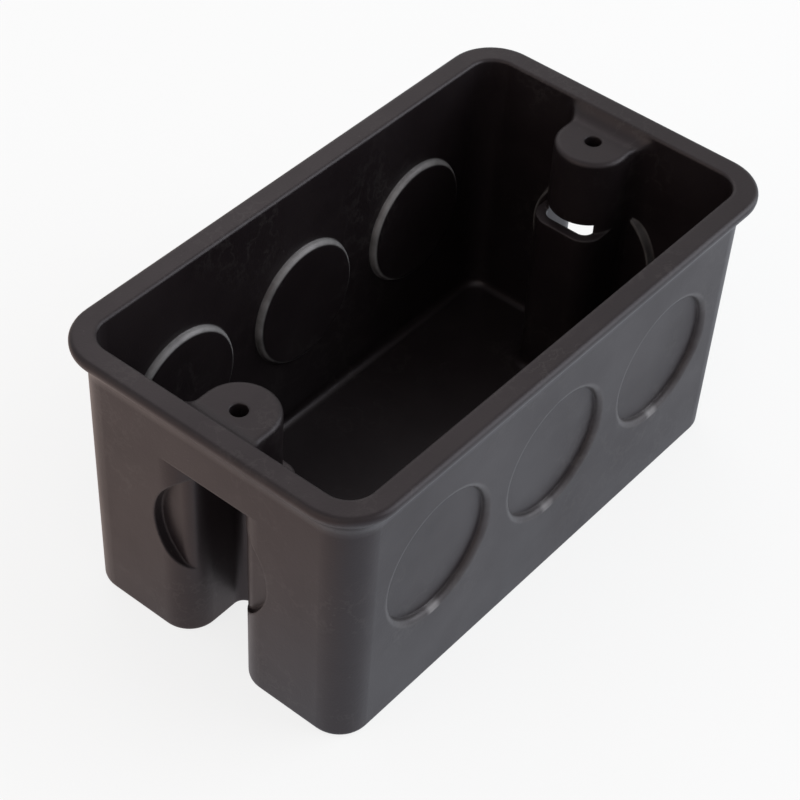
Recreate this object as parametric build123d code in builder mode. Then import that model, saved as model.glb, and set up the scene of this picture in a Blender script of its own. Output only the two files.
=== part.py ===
from build123d import *
import os
from math import cos, pi, radians, sin, tan

# A flush switch box for one wiring device, moulded in one piece from dark plastic. It stands on
# its closed floor with the mouth up. X runs along the box, Y across it and Z up, from the middle
# of the underside. Sizes are in millimetres and angles in degrees.

# Shell, with its width taken over the outside of the walls at the mouth
body_width = 53.6
height = 50.1
wall = 1.7
floor_thickness = 2.0
draft = 0.9  # every wall leans outwards from the base to the mouth
corner_radius = 6.0
floor_fillet = 1.5  # inside, between the walls and the floor
base_fillet = 0.7  # outside, round the underside

# Flared rim round the mouth
rim_overhang = 2.4
rim_thickness = 1.5
rim_slope = 50.0  # rise of the rim's underside from the wall to its nose
rim_round = 0.8  # upper edge
rim_nose = 1.4  # lower edge
rim_cove = 5.0  # hollow between the underside and the wall
mouth_round = 0.5

# Screw lug inside each end wall, which sets how long the box is
screw_spacing = 83.3
screw_setback = 6.8  # from the screw's axis out to the face of the end wall at the mouth
screw_hole_diameter = 2.8
lug_drop = 2.1  # from the rim down to the top of the lug
lug_round = 0.8  # upper edge
lug_wall = 1.2  # between the front of the lug and the flute

# Flute up the outside of each end wall, where the end of the screw stands free
flute_width = 9.0
flute_reach = 5.6  # from the screw's axis in to the back of the flute
flute_height = 37.2
flute_back_radius = 1.8
flank_radius = 5.0  # rounding from the end wall into the flute
casing_top = 33.9  # top of the wall round the flute, inside the box
slot_height = 1.8  # gap into the flute between its wall and the lug above

# Round knock-outs, discs of the wall set inwards
knockout_diameter = 22.2
side_knockout_count = 3
side_knockout_pitch = 27.9
side_knockout_height = 26.2
side_knockout_depth = 1.1
side_knockout_round = 1.0  # edge of each disc, inside and out
end_knockout_height = 24.0
end_knockout_depth = 1.7
end_knockout_round = 2.5  # from the disc into the flute, where the recess runs out
end_pad_rise = 1.5  # inside, behind the disc
end_pad_margin = 0.8  # how far the pad reaches past the disc

# Sizes that follow from those above
lean = tan(radians(draft))
screw_x = screw_spacing / 2
half_length = screw_x + screw_setback
half_width = body_width / 2
lug_top = height - lug_drop
lug_radius = flute_width / 2 + wall
flute_back = screw_x - flute_reach
casing_front = flute_back - wall
slot_top = casing_top + slot_height
slot_back = flute_back + flute_back_radius
lug_back = screw_x - lug_radius + lug_wall
wall_heart = half_length - height * lean - wall / 4  # within the end wall at every height
rim_run = 1 / tan(radians(rim_slope))  # how far the rim's underside runs in for each step down
rim_root = height - rim_thickness - (rim_overhang + rim_thickness * lean) / (rim_run - lean)

# How near two places lie that are taken as one
hair = 0.01

# The mouth, facing down into the box
mouth = Plane(origin=(0, 0, height), x_dir=(1, 0, 0), z_dir=(0, 0, -1))


def outline(growth):
    """The rounded oblong of the body at the mouth, grown evenly on all sides."""
    RectangleRounded(2 * (half_length + growth), 2 * (half_width + growth), corner_radius + growth)


def strip(end, near, far, width):
    """An oblong along the box's length at one end, between two distances from the middle."""
    with Locations((end * (near + far) / 2, 0)):
        Rectangle(far - near, width)


def end_face(end, inset):
    """The leaning plane of an end wall at its knock-out's height, set in from its outer face."""
    outward = (end * cos(radians(draft)), 0, -sin(radians(draft)))
    reach = half_length - (height - end_knockout_height) * lean
    middle = (end * reach, 0, end_knockout_height)
    return Plane(origin=middle, x_dir=(0, 1, 0), z_dir=outward).offset(-inset)


def side_face(side, inset):
    """The leaning plane of a long wall at its knock-outs' height, set in from its outer face."""
    outward = (0, side * cos(radians(draft)), -sin(radians(draft)))
    reach = half_width - (height - side_knockout_height) * lean
    middle = (0, side * reach, side_knockout_height)
    return Plane(origin=middle, x_dir=(1, 0, 0), z_dir=outward).offset(-inset)


def at_level(edges, level):
    """The edges that lie flat at one height."""
    return edges.filter_by_position(Axis.Z, level - hair, level + hair)


def upright_by_end(edges, offset):
    """The edges that stand up near an end wall, this far from the middle of the box's width."""
    tall = edges.filter_by(lambda edge: edge.bounding_box().size.Z > wall)
    beyond = tall.filter_by(lambda edge: abs(edge.center().X) > screw_x + wall)
    return beyond.filter_by(lambda edge: abs(abs(edge.center().Y) - offset) < hair)


def rings_on(edges, plane):
    """The whole circles of knock-outs that lie on a plane."""
    rings = edges.filter_by(lambda edge: abs(edge.length - pi * knockout_diameter) < hair)
    return rings.filter_by(lambda edge: abs(plane.to_local_coords(edge.center()).Z) < hair)


def end_recess(end):
    """The round hollow over an end wall's disc, less the lands that curve from the disc into the flute."""
    face = end_face(end, 0)
    section = Plane(origin=face.origin, x_dir=face.x_dir, z_dir=face.y_dir)  # its Y runs into the box
    with BuildPart(mode=Mode.PRIVATE) as hollow:
        with BuildSketch(face):
            Circle(knockout_diameter / 2)
        extrude(amount=-flank_radius)
        with BuildSketch(section) as lands:
            with Locations((0, end_knockout_depth + flank_radius / 2)):
                with GridLocations(flute_width + knockout_diameter, 0, 2, 1):
                    Rectangle(knockout_diameter, flank_radius)
            shore = lands.vertices().group_by(Axis.Y)[0]
            fillet(shore.filter_by(lambda corner: abs(corner.X) < flute_width), end_knockout_round)
        extrude(amount=knockout_diameter, both=True, mode=Mode.SUBTRACT)
    return hollow.part


with BuildPart() as switch_box:
    # Solid body, drafted in from the mouth to the base
    with BuildSketch(mouth):
        outline(0)
    extrude(amount=height, taper=draft)

    # Rim: an upright edge, a sloping underside that runs into the wall, and soft rounds between
    with BuildSketch(mouth):
        outline(rim_overhang)
    extrude(amount=rim_thickness)
    with BuildSketch(mouth.offset(rim_thickness)):
        outline(rim_overhang)
    extrude(amount=(rim_overhang + wall / 2) / rim_run, taper=90 - rim_slope)
    fillet(at_level(switch_box.edges(), rim_root), rim_cove)
    fillet(at_level(switch_box.edges(), height - rim_thickness), rim_nose)
    fillet(at_level(switch_box.edges(), height), rim_round)

    # Hollow of the box, with a soft edge round its mouth
    with BuildSketch(mouth):
        outline(-wall)
    extrude(amount=height - floor_thickness, taper=draft, mode=Mode.SUBTRACT)
    top_face = switch_box.faces().sort_by(Axis.Z)[-1]
    fillet(top_face.inner_wires()[0].edges(), mouth_round)

    # Column of each lug, and below it the casing of the flute, which stands a wall further in
    for end in (-1, 1):
        with BuildSketch(Plane.XY.offset(lug_top)):
            strip(end, screw_x, wall_heart, 2 * lug_radius)
            with Locations((end * screw_x, 0)):
                Circle(lug_radius)
        extrude(amount=casing_top - lug_top)
        with BuildSketch(Plane.XY.offset(casing_top)) as casing:
            strip(end, casing_front, wall_heart, 2 * lug_radius)
            fillet(casing.vertices().group_by(SortBy.DISTANCE)[0], flute_back_radius + wall)
        extrude(amount=floor_thickness / 2 - casing_top)
    lug_edges = at_level(switch_box.edges(), lug_top)
    fillet(lug_edges.filter_by(lambda edge: abs(edge.center().X) < half_length - 2 * wall), lug_round)
    fillet(upright_by_end(switch_box.edges(), lug_radius), flank_radius - wall)

    # One round along the floor, past walls and casings
    floor = switch_box.faces().filter_by_position(Axis.Z, floor_thickness - hair, floor_thickness + hair)
    fillet(floor.edges(), floor_fillet)

    # Flutes, open outwards and at the base, shallower behind the lug, with rounded flanks
    for end in (-1, 1):
        for back, top in ((flute_back, slot_top), (lug_back, flute_height)):
            with BuildSketch() as flute:
                strip(end, back, half_length + rim_overhang, flute_width)
                fillet(flute.vertices().group_by(SortBy.DISTANCE)[0], flute_back_radius)
            extrude(amount=top, mode=Mode.SUBTRACT)
    flanks = upright_by_end(switch_box.edges(), flute_width / 2)
    fillet(flanks.filter_by(lambda edge: abs(edge.center().X) > wall_heart), flank_radius)
    fillet(at_level(switch_box.edges(), 0), base_fillet)

    # Knock-outs in the long walls, with soft edges
    for side in (-1, 1):
        with BuildSketch(side_face(side, wall / 2)):
            with GridLocations(side_knockout_pitch, 0, side_knockout_count, 1):
                Circle(knockout_diameter / 2)
        extrude(amount=-wall / 2 - side_knockout_depth)
        with BuildSketch(side_face(side, 0)):
            with GridLocations(side_knockout_pitch, 0, side_knockout_count, 1):
                Circle(knockout_diameter / 2)
        extrude(amount=-side_knockout_depth, mode=Mode.SUBTRACT)
        for inset in (0, wall + side_knockout_depth):
            fillet(rings_on(switch_box.edges(), side_face(side, inset)), side_knockout_round)

    # Knock-outs in the end walls, each parted by its flute and curving into it
    for end in (-1, 1):
        with BuildSketch(end_face(end, wall - hair)):
            Circle(knockout_diameter / 2 + end_pad_margin)
            Rectangle(2 * lug_radius, 2 * knockout_diameter, mode=Mode.SUBTRACT)
        extrude(amount=-hair - end_pad_rise)
        add(end_recess(end), mode=Mode.SUBTRACT)

    # Slot into the flute below the front of each lug, and the screw hole down through the lug
    for end in (-1, 1):
        with BuildSketch(Plane.XY.offset(casing_top)):
            strip(end, casing_front, slot_back, 2 * lug_radius)
        extrude(amount=slot_height, mode=Mode.SUBTRACT)
        with Locations((end * screw_x, 0, lug_top)):
            Hole(screw_hole_diameter / 2, depth=lug_top - flute_height)

switch_box.part.label = "switch_box"
os.makedirs("parts", exist_ok=True)
export_step(switch_box.part, "parts/switch_box.step")
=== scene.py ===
"""A moulded plastic switch box on a pale studio floor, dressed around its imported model.

Lengths are in metres and angles in degrees. X runs along the box, Y across it and Z up, from the
middle of the underside.
"""

from __future__ import annotations

import logging
import math
from collections.abc import Sequence
from dataclasses import dataclass, field
from enum import Enum

import bpy
import numpy as np
from mathutils import Matrix, Vector


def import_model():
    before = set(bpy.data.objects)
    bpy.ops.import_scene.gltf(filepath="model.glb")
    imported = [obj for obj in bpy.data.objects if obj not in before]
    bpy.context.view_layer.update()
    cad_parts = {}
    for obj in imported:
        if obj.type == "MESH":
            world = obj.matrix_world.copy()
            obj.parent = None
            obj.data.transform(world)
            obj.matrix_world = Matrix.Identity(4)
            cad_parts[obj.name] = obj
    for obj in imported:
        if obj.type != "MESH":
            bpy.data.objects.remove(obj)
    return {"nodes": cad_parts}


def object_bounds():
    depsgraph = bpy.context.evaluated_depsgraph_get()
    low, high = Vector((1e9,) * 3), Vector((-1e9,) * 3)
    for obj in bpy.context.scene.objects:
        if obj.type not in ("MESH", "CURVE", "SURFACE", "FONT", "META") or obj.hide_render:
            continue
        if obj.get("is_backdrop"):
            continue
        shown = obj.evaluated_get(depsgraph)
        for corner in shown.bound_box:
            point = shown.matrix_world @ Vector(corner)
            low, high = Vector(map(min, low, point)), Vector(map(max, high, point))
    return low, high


LOG = logging.getLogger("switch_box")
MM = 0.001

Colour = tuple[float, float, float]
Point = tuple[float, float, float]
Span = tuple[float, float]
Socket = bpy.types.NodeSocket

WHITE: Colour = (1.0, 1.0, 1.0)


class NodeKind(Enum):
    """The shader nodes that the finishes use."""

    SURFACE = "ShaderNodeBsdfPrincipled"
    OUTPUT = "ShaderNodeOutputMaterial"
    COORDINATES = "ShaderNodeTexCoord"
    NOISE = "ShaderNodeTexNoise"
    RANGE = "ShaderNodeMapRange"
    MATH = "ShaderNodeMath"
    SEPARATE = "ShaderNodeSeparateXYZ"
    VECTOR_MATH = "ShaderNodeVectorMath"
    MIX = "ShaderNodeMix"
    BUMP = "ShaderNodeBump"
    BEVEL = "ShaderNodeBevel"
    GEOMETRY = "ShaderNodeNewGeometry"
    LIGHT_PATH = "ShaderNodeLightPath"
    GLOW = "ShaderNodeEmission"
    MIX_SURFACES = "ShaderNodeMixShader"
    BACKGROUND = "ShaderNodeBackground"
    WORLD_OUTPUT = "ShaderNodeOutputWorld"


class Step(Enum):
    """The steps of arithmetic that the finishes use."""

    ADD = "ADD"
    SUBTRACT = "SUBTRACT"
    MULTIPLY = "MULTIPLY"
    POWER = "POWER"
    ROOT = "SQRT"
    SIZE = "ABSOLUTE"
    LARGER = "MAXIMUM"
    UNDER = "LESS_THAN"
    OVER = "GREATER_THAN"
    WRAP = "WRAP"


@dataclass(frozen=True)
class Clouds:
    """Cloudy noise: clouds to a metre, octaves of finer ones, their strength, and the span that counts."""

    scale: float
    detail: float
    rough: float = 0.5
    span: Span = (0.0, 1.0)


class NodeBoard:
    """A node tree with short ways to add nodes and join them."""

    # A mix node's sockets for colours, which share their names with those for numbers
    FIRST_COLOUR = 6
    SECOND_COLOUR = 7
    MIXED_COLOUR = 2

    def __init__(self, tree: bpy.types.NodeTree) -> None:
        """Takes a node tree and empties it.

        Args:
            tree: The node tree of a material or a world.
        """
        self.tree = tree
        self.tree.nodes.clear()

    def add(self, kind: NodeKind, **settings: object) -> bpy.types.Node:
        """Adds a node and sets its own properties.

        Args:
            kind: Which node to add.
            settings: Property names of the node, with their values.

        Returns:
            The new node.
        """
        node = self.tree.nodes.new(kind.value)
        for name, value in settings.items():
            setattr(node, name, value)
        return node

    def join(self, source: Socket, target: Socket) -> None:
        """Links an output to an input."""
        self.tree.links.new(source, target)

    def feed(self, target: Socket, value: object) -> None:
        """Links a socket, or sets a plain value, on an input.

        Args:
            target: The input.
            value: An output to link, or a number or colour to set.
        """
        if isinstance(value, Socket):
            self.join(value, target)
        else:
            target.default_value = value

    def axes(self, place: Socket) -> tuple[Socket, Socket, Socket]:
        """Parts a place into its X, Y and Z.

        Args:
            place: The place.

        Returns:
            Its three parts.
        """
        node = self.add(NodeKind.SEPARATE)
        self.join(place, node.inputs["Vector"])
        return node.outputs["X"], node.outputs["Y"], node.outputs["Z"]

    def noise(self, place: Socket, clouds: Clouds) -> Socket:
        """Adds cloudy noise.

        Args:
            place: Where the noise is read.
            clouds: The kind of noise.

        Returns:
            The noise, from 0 to 1.
        """
        node = self.add(NodeKind.NOISE)
        self.join(place, node.inputs["Vector"])
        node.inputs["Scale"].default_value = clouds.scale
        node.inputs["Detail"].default_value = clouds.detail
        node.inputs["Roughness"].default_value = clouds.rough
        return node.outputs["Fac"]

    def patches(self, place: Socket, clouds: Clouds, first: float = 0.0, last: float = 1.0) -> Socket:
        """Noise as soft patches, stepped over the span that counts and set between two levels."""
        return self.ramp(self.noise(place, clouds), clouds.span, first, last)

    def ramp(self, value: Socket, span: Span, first: float = 0.0, last: float = 1.0) -> Socket:
        """Adds a smooth step between two levels.

        Args:
            value: What is read.
            span: The values where the step starts and ends.
            first: The level before the step.
            last: The level after it.

        Returns:
            The stepped value.
        """
        node = self.add(NodeKind.RANGE, interpolation_type="SMOOTHSTEP")
        self.join(value, node.inputs["Value"])
        node.inputs["From Min"].default_value = span[0]
        node.inputs["From Max"].default_value = span[1]
        node.inputs["To Min"].default_value = first
        node.inputs["To Max"].default_value = last
        return node.outputs["Result"]

    def math(self, step: Step, *values: object) -> Socket:
        """Adds one step of arithmetic.

        Args:
            step: Which step.
            values: The sockets or numbers that it works on.

        Returns:
            The result.
        """
        node = self.add(NodeKind.MATH, operation=step.value)
        for target, value in zip(node.inputs, values):
            self.feed(target, value)
        return node.outputs["Value"]

    def times(self, first: object, *others: object) -> Socket:
        """Multiplies sockets and numbers.

        Args:
            first: The first of them.
            others: The rest.

        Returns:
            Their product.
        """
        product = first
        for value in others:
            product = self.math(Step.MULTIPLY, product, value)
        return product

    def size(self, value: Socket) -> Socket:
        """A value without its sign."""
        return self.math(Step.SIZE, value)

    def over(self, value: Socket, limit: float) -> Socket:
        """1 over a limit and 0 elsewhere."""
        return self.math(Step.OVER, value, limit)

    def under(self, value: Socket, limit: float) -> Socket:
        """1 under a limit and 0 elsewhere."""
        return self.math(Step.UNDER, value, limit)

    def distance(self, across: Socket, along: Socket) -> Socket:
        """The long side of a right triangle, from its two short sides."""
        squares = self.math(Step.ADD, self.math(Step.POWER, across, 2.0), self.math(Step.POWER, along, 2.0))
        return self.math(Step.ROOT, squares)

    def band(self, value: Socket, middle: float, half: float) -> Socket:
        """1 at a value and for a third of a half width about it, and 0 past the half width."""
        return self.ramp(self.size(self.math(Step.SUBTRACT, value, middle)), (half, half / 3))

    def blend(self, share: Socket, first: Socket | Colour, second: Socket | Colour) -> Socket:
        """Mixes two colours.

        Args:
            share: How much of the second colour there is, from 0 to 1.
            first: A colour, or the socket of one.
            second: A colour, or the socket of one.

        Returns:
            The mixed colour.
        """
        node = self.add(NodeKind.MIX, data_type="RGBA")
        self.join(share, node.inputs["Factor"])
        for index, colour in ((self.FIRST_COLOUR, first), (self.SECOND_COLOUR, second)):
            self.feed(node.inputs[index], colour if isinstance(colour, Socket) else (*colour, 1.0))
        return node.outputs[self.MIXED_COLOUR]

    def bump(self, height: Socket, depth: float, strength: float, normal: Socket) -> Socket:
        """Roughens a normal with a height.

        Args:
            height: The height, from 0 to 1.
            depth: How deep a height of 1 is.
            strength: How much of the bump shows.
            normal: The normal below it.

        Returns:
            The new normal.
        """
        node = self.add(NodeKind.BUMP)
        node.inputs["Strength"].default_value = strength
        node.inputs["Distance"].default_value = depth
        self.join(height, node.inputs["Height"])
        self.join(normal, node.inputs["Normal"])
        return node.outputs["Normal"]


# Painted highlight: these pale rings and tie spots stand partly for strain whitening and partly for the
# highlight that the knock-outs' rounded edges catch.
@dataclass(frozen=True)
class KnockOutWearAndHighlight:
    """Pale strain wear round the knock-outs, where the plastic is thin, and at the ties of the long walls'
    discs; the pale rings also paint in the highlight on the discs' rounded edges.

    A ring is given as the radius of its middle and half its width.
    """

    pitch: float = 27.9 * MM
    height: float = 26.2 * MM
    row: float = 41.0 * MM  # half the length of a long wall's row
    lining: float = 22.5 * MM  # the inside of a long wall lies between this and the parting
    parting: float = 25.0 * MM  # the outside lies past this
    inner_ring: Span = (10.85 * MM, 0.5 * MM)
    outer_ring: Span = (11.6 * MM, 0.75 * MM)
    tie_reach: float = 1.8 * MM
    end_height: float = 24.0 * MM
    end_ring: Span = (11.9 * MM, 0.5 * MM)
    end_lining: Span = (42.0 * MM, 46.6 * MM)
    casing: float = 7.0 * MM  # half the width of the flute's casing
    inner_share: float = 0.80
    outer_share: float = 0.12
    tie_share: float = 0.50
    end_share: float = 0.40

    def marks(self, board: NodeBoard, place: Socket) -> tuple[Socket, ...]:
        """Finds the edges of the discs, inside and out, and the lowest point of each outer edge.

        Args:
            board: The material's nodes.
            place: The object's coordinates.

        Returns:
            How pale the inner edges, the outer edges, the ties and the end walls' pads are, as strain wear
            and painted highlight.
        """
        along, across, up = board.axes(place)
        reach = board.size(along)
        depth = board.size(across)
        beside = board.math(Step.WRAP, along, self.pitch / 2, -self.pitch / 2)
        rise = board.math(Step.SUBTRACT, up, self.height)
        away = board.distance(beside, rise)
        in_row = board.under(reach, self.row)
        outside = board.times(in_row, board.over(depth, self.parting))
        inside = board.times(in_row, board.over(depth, self.lining), board.under(depth, self.parting))
        inner = board.times(inside, board.band(away, *self.inner_ring))
        outer = board.times(outside, board.band(away, *self.outer_ring))
        tie = board.times(outer, board.under(rise, 0.0), board.band(beside, 0.0, self.tie_reach))
        by_end = board.times(board.over(reach, self.end_lining[0]), board.under(reach, self.end_lining[1]))
        beside_casing = board.times(by_end, board.over(depth, self.casing))
        end_away = board.distance(across, board.math(Step.SUBTRACT, up, self.end_height))
        end = board.times(beside_casing, board.band(end_away, *self.end_ring))
        shares = (self.inner_share, self.outer_share, self.tie_share, self.end_share)
        return tuple(board.times(mark, share) for mark, share in zip((inner, outer, tie, end), shares))


@dataclass(frozen=True)
class MouldedPlastic:
    """Dark satin plastic as it leaves a worn mould: mottled, finely grained and pale on its edges, with a
    painted highlight on the knock-outs' edges.
    """

    dark: Colour = (0.0098, 0.0069, 0.0079)
    light: Colour = (0.0150, 0.0112, 0.0123)
    scuffed: Colour = (0.051, 0.046, 0.044)
    dust: Colour = (0.091, 0.084, 0.080)
    # Pale strain whitening and painted highlight for the knock-outs' edges
    strained_and_highlit: Colour = (0.31, 0.297, 0.297)
    roughness: Span = (0.32, 0.46)
    specular: float = 0.42
    tint: Colour = (1.0, 0.90, 0.94)
    edge_radius: float = 0.55 * MM
    edge_samples: int = 4
    edge_turn: Span = (0.99, 0.80)
    knockouts: KnockOutWearAndHighlight = field(default_factory=KnockOutWearAndHighlight)
    mottle: Clouds = Clouds(70.0, 4.0, 0.6, (0.30, 0.72))
    specks: Clouds = Clouds(1500.0, 2.0, span=(0.70, 0.80))
    speck_share: float = 0.25
    streaks: Clouds = Clouds(160.0, 6.0, 0.6)
    streak_middle: float = 0.5
    streak_half: float = 0.02
    streaked: Clouds = Clouds(45.0, 2.0, span=(0.45, 0.65))
    streak_share: float = 0.28
    rubbing: Clouds = Clouds(420.0, 3.0, span=(0.42, 0.70))
    rub_share: float = 0.6
    rub_dulling: float = 0.12
    # Breaks up the knock-outs' strain wear and painted highlight
    strain_and_highlight_patches: Clouds = Clouds(300.0, 3.0, span=(0.25, 0.65))
    least_strain_and_highlight: float = 0.55
    flow: Clouds = Clouds(26.0, 5.0, 0.62, (0.28, 0.74))
    waves: Clouds = Clouds(55.0, 2.0, 0.4)
    wave_depth: float = 0.30 * MM
    wave_strength: float = 0.5
    grain: Clouds = Clouds(2600.0, 3.0, 0.55)
    grain_depth: float = 0.030 * MM
    grain_strength: float = 0.6

    def material(self, name: str) -> bpy.types.Material:
        """Makes the plastic's material.

        Args:
            name: The material's name.

        Returns:
            The finished material.
        """
        material = bpy.data.materials.new(name)
        material.use_nodes = True
        board = NodeBoard(material.node_tree)
        place = board.add(NodeKind.COORDINATES).outputs["Object"]
        edge_normal = self._soft_edges(board)
        wear = self._wear(board, place, edge_normal)
        surface = board.add(NodeKind.SURFACE)
        surface.inputs["Specular IOR Level"].default_value = self.specular
        surface.inputs["Specular Tint"].default_value = (*self.tint, 1.0)
        board.join(self._colour(board, place, wear), surface.inputs["Base Color"])
        board.join(self._sheen(board, place, wear), surface.inputs["Roughness"])
        board.join(self._relief(board, place, edge_normal), surface.inputs["Normal"])
        output = board.add(NodeKind.OUTPUT)
        board.join(surface.outputs["BSDF"], output.inputs["Surface"])
        return material

    def _soft_edges(self, board: NodeBoard) -> Socket:
        """Rounds every sharp edge over, as moulded edges are.

        Args:
            board: The material's nodes.

        Returns:
            The normal with rounded edges.
        """
        bevel = board.add(NodeKind.BEVEL, samples=self.edge_samples)
        bevel.inputs["Radius"].default_value = self.edge_radius
        return bevel.outputs["Normal"]

    def _wear(self, board: NodeBoard, place: Socket, edge_normal: Socket) -> Socket:
        """Where edges are rubbed: the turn of the rounded normal, broken up by noise.

        Args:
            board: The material's nodes.
            place: The object's coordinates.
            edge_normal: The normal with rounded edges.

        Returns:
            The wear, from 0 to 1.
        """
        geometry = board.add(NodeKind.GEOMETRY)
        turn = board.add(NodeKind.VECTOR_MATH, operation="DOT_PRODUCT")
        board.join(geometry.outputs["Normal"], turn.inputs[0])
        board.join(edge_normal, turn.inputs[1])
        edge = board.ramp(turn.outputs["Value"], self.edge_turn)
        return board.times(edge, board.patches(place, self.rubbing))

    def _colour(self, board: NodeBoard, place: Socket, wear: Socket) -> Socket:
        """Mottled dark plastic with faint flow marks, paler where it is rubbed, with pale strain wear and a
        painted highlight round the knock-outs.

        Args:
            board: The material's nodes.
            place: The object's coordinates.
            wear: The wear, from 0 to 1.

        Returns:
            The colour.
        """
        base = board.blend(board.patches(place, self.mottle), self.dark, self.light)
        specks = board.patches(place, self.specks, last=self.speck_share)
        dusty = board.blend(specks, base, self.dust)
        streaks = board.band(board.noise(place, self.streaks), self.streak_middle, self.streak_half)
        streaked = board.patches(place, self.streaked, last=self.streak_share)
        marked = board.blend(board.times(streaks, streaked), dusty, self.scuffed)
        colour = board.blend(board.times(wear, self.rub_share), marked, self.scuffed)
        strain_and_highlight_patches = board.patches(place, self.strain_and_highlight_patches, first=self.least_strain_and_highlight)
        # Pale rings and tie spots: strain whitening and a painted highlight on the knock-outs' rounded
        # edges.
        for mark in self.knockouts.marks(board, place):
            colour = board.blend(board.times(mark, strain_and_highlight_patches), colour, self.strained_and_highlit)
        return colour

    def _sheen(self, board: NodeBoard, place: Socket, wear: Socket) -> Socket:
        """Smooth and dull patches where the plastic flowed, duller where it is rubbed.

        Args:
            board: The material's nodes.
            place: The object's coordinates.
            wear: The wear, from 0 to 1.

        Returns:
            The roughness.
        """
        flowed = board.patches(place, self.flow, *self.roughness)
        return board.math(Step.ADD, flowed, board.times(wear, self.rub_dulling))

    def _relief(self, board: NodeBoard, place: Socket, edge_normal: Socket) -> Socket:
        """Slow waves of a thin wall and the fine grain of the mould.

        Args:
            board: The material's nodes.
            place: The object's coordinates.
            edge_normal: The normal with rounded edges.

        Returns:
            The normal.
        """
        waves = board.noise(place, self.waves)
        waved = board.bump(waves, self.wave_depth, self.wave_strength, edge_normal)
        grain = board.noise(place, self.grain)
        return board.bump(grain, self.grain_depth, self.grain_strength, waved)


@dataclass
class SwitchBox:
    """The box itself: one moulding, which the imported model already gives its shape."""

    node_name: str = "switch_box"
    finish: MouldedPlastic = field(default_factory=MouldedPlastic)

    def dress(self, nodes: dict[str, bpy.types.Object]) -> bpy.types.Object:
        """Gives the moulding its finish.

        Args:
            nodes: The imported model's nodes by name.

        Returns:
            The dressed moulding.
        """
        moulding = nodes[self.node_name]
        material = self.finish.material("dark_plastic_finish")
        for slot in moulding.material_slots:
            slot.material = material
        return moulding


@dataclass(frozen=True)
class PaleFloor:
    """Matt white that stays pale to the camera and in reflections, with the box's shadow on it.

    The box mirrors it a little warm beyond its near end and a little cool along its right side. A share
    says how much of the floor is as pale as its colour, and the rest takes light and shadow.
    """

    colour: Colour = (0.97, 0.97, 0.97)
    roughness: float = 0.85
    specular: float = 0.1
    seen_share: float = 0.80
    mirrored_share: float = 0.80
    cool: Colour = (0.80, 0.85, 0.93)
    warm: Colour = (0.93, 0.74, 0.67)
    warm_from: Span = (5.0 * MM, 95.0 * MM)  # along the diagonal, from the right side to the near end

    def material(self, name: str) -> bpy.types.Material:
        """Makes the floor's material.

        Args:
            name: The material's name.

        Returns:
            The finished material.
        """
        material = bpy.data.materials.new(name)
        material.use_nodes = True
        board = NodeBoard(material.node_tree)
        surface = board.add(NodeKind.SURFACE)
        surface.inputs["Base Color"].default_value = (*self.colour, 1.0)
        surface.inputs["Roughness"].default_value = self.roughness
        surface.inputs["Specular IOR Level"].default_value = self.specular
        path = board.add(NodeKind.LIGHT_PATH).outputs
        seen = path["Is Camera Ray"]
        mirrored = board.math(Step.LARGER, path["Is Glossy Ray"], path["Is Transmission Ray"])
        along, across, _ = board.axes(board.add(NodeKind.COORDINATES).outputs["Object"])
        diagonal = board.math(Step.SUBTRACT, across, along)
        room = board.blend(board.ramp(diagonal, self.warm_from), self.cool, self.warm)
        glow = board.add(NodeKind.GLOW)
        board.join(board.blend(seen, room, WHITE), glow.inputs["Color"])
        seen_glow = board.times(seen, self.seen_share)
        mirrored_glow = board.times(mirrored, self.mirrored_share)
        mixed = board.add(NodeKind.MIX_SURFACES)
        board.join(board.math(Step.LARGER, seen_glow, mirrored_glow), mixed.inputs[0])
        board.join(surface.outputs["BSDF"], mixed.inputs[1])
        board.join(glow.outputs["Emission"], mixed.inputs[2])
        output = board.add(NodeKind.OUTPUT)
        board.join(mixed.outputs["Shader"], output.inputs["Surface"])
        return material


@dataclass
class StudioFloor:
    """A plain pale floor that the box stands on, a hair below its underside."""

    reach: float = 4.0
    drop: float = 0.02 * MM
    cells: int = 8
    finish: PaleFloor = field(default_factory=PaleFloor)

    def build(self) -> bpy.types.Object:
        """Builds the floor, a level grid of squares about the middle.

        Returns:
            The floor.
        """
        line = np.linspace(-self.reach, self.reach, self.cells + 1)
        x, y = np.meshgrid(line, line, indexing="ij")
        points = np.stack([x, y, np.full_like(x, -self.drop)], axis=-1).reshape(-1, 3)
        number = np.arange(x.size).reshape(x.shape)
        corners = (number[:-1, :-1], number[1:, :-1], number[1:, 1:], number[:-1, 1:])
        faces = np.stack(corners, axis=-1).reshape(-1, len(corners))
        mesh = bpy.data.meshes.new("studio_floor")
        mesh.from_pydata(points.tolist(), [], faces.tolist())
        mesh.update()
        floor = bpy.data.objects.new("studio_floor", mesh)
        bpy.context.scene.collection.objects.link(floor)
        mesh.materials.append(self.finish.material("pale_floor"))
        floor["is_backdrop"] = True
        return floor


@dataclass(frozen=True)
class SoftLamp:
    """A large soft lamp that shines at the box."""

    name: str
    azimuth: float
    elevation: float
    distance: float
    side: float
    power: float
    colour: Colour

    def build(self, target: Point) -> bpy.types.Object:
        """Hangs the lamp.

        Args:
            target: The point that it shines at.

        Returns:
            The lamp.
        """
        lamp = bpy.data.lights.new(self.name, "AREA")
        lamp.size = self.side
        lamp.energy = self.power
        lamp.color = self.colour
        hung = bpy.data.objects.new(self.name, lamp)
        bpy.context.scene.collection.objects.link(hung)
        away = direction(self.azimuth, self.elevation)
        hung.location = Vector(target) + away * self.distance
        hung.rotation_euler = away.to_track_quat("Z", "Y").to_euler()
        return hung


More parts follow.
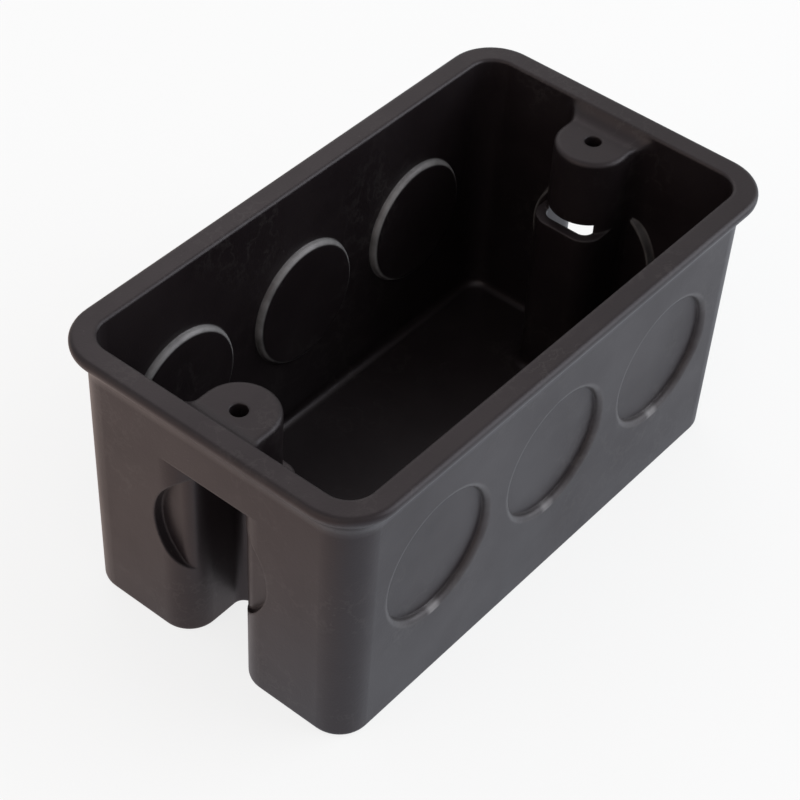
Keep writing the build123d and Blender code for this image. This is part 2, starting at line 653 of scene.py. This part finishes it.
@dataclass(frozen=True)
class StudioSky:
    """Even pale surroundings, dimmer than the floor."""

    colour: Colour = WHITE
    strength: float = 0.58

    def build(self) -> None:
        """Sets the world to one plain light."""
        world = bpy.data.worlds.new("studio_sky")
        world.use_nodes = True
        bpy.context.scene.world = world
        board = NodeBoard(world.node_tree)
        background = board.add(NodeKind.BACKGROUND)
        background.inputs["Color"].default_value = (*self.colour, 1.0)
        background.inputs["Strength"].default_value = self.strength
        output = board.add(NodeKind.WORLD_OUTPUT)
        board.join(background.outputs["Background"], output.inputs["Surface"])


@dataclass(frozen=True)
class PhotographCamera:
    """The camera of the photograph, fitted to the rim, walls and lugs."""

    azimuth: float = -52.76
    elevation: float = 43.98
    roll: float = 3.653
    distance: float = 358.6 * MM
    target: Point = (-3.723 * MM, 0.888 * MM, 22.311 * MM)
    lens: float = 103.17  # millimetres, as is the sensor's width
    sensor: float = 36.0
    clip_start: float = 10.0 * MM

    def build(self) -> bpy.types.Object:
        """Sets up the camera and makes it the scene's own.

        Returns:
            The camera.
        """
        data = bpy.data.cameras.new("photograph_camera")
        data.lens = self.lens
        data.sensor_width = self.sensor
        data.sensor_fit = "HORIZONTAL"
        data.clip_start = self.clip_start
        camera = bpy.data.objects.new("photograph_camera", data)
        bpy.context.scene.collection.objects.link(camera)
        back = direction(self.azimuth, self.elevation)
        around = math.radians(self.azimuth)
        level = Vector((math.cos(around), math.sin(around), 0.0))
        upward = back.cross(level)
        turn = math.radians(self.roll)
        right = level * math.cos(turn) + upward * math.sin(turn)
        above = upward * math.cos(turn) - level * math.sin(turn)
        pose = Matrix((right, above, back)).transposed().to_4x4()
        pose.translation = Vector(self.target) + back * self.distance
        camera.matrix_world = pose
        bpy.context.scene.camera = camera
        return camera


WINDOW_LAMP = SoftLamp(
    name="window_lamp",
    azimuth=44.0,
    elevation=24.0,
    distance=0.9,
    side=0.9,
    power=5.8,
    colour=(0.86, 0.94, 1.0),
)
ROOM_LAMP = SoftLamp(
    name="room_lamp",
    azimuth=-98.0,
    elevation=30.0,
    distance=1.1,
    side=1.0,
    power=1.6,
    colour=(1.0, 0.76, 0.58),
)
BACK_LAMP = SoftLamp(
    name="back_lamp",
    azimuth=145.0,
    elevation=42.0,
    distance=0.9,
    side=0.5,
    power=0.56,
    colour=(1.0, 0.93, 0.93),
)


def direction(azimuth: float, elevation: float) -> Vector:
    """The unit vector towards a viewer at an azimuth and elevation; azimuth 0 looks along +Y."""
    turn, rise = math.radians(azimuth), math.radians(elevation)
    return Vector((math.sin(turn) * math.cos(rise), -math.cos(turn) * math.cos(rise), math.sin(rise)))


def main() -> None:
    """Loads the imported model, dresses it and sets up the studio."""
    logging.basicConfig(level=logging.INFO)
    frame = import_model()
    cad_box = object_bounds()
    moulding = SwitchBox().dress(frame["nodes"])
    LOG.info("dressed %s", moulding.name)
    floor = StudioFloor().build()
    LOG.info("laid %s", floor.name)
    middle = tuple(sum(values) / 2 for values in zip(*cad_box))
    for lamp in (WINDOW_LAMP, ROOM_LAMP, BACK_LAMP):
        LOG.info("hung %s", lamp.build(middle).name)
    StudioSky().build()
    LOG.info("set the sky")
    LOG.info("set up %s", PhotographCamera().build().name)
    bpy.context.scene.view_settings.view_transform = "Standard"


if __name__ == "__main__":
    main()
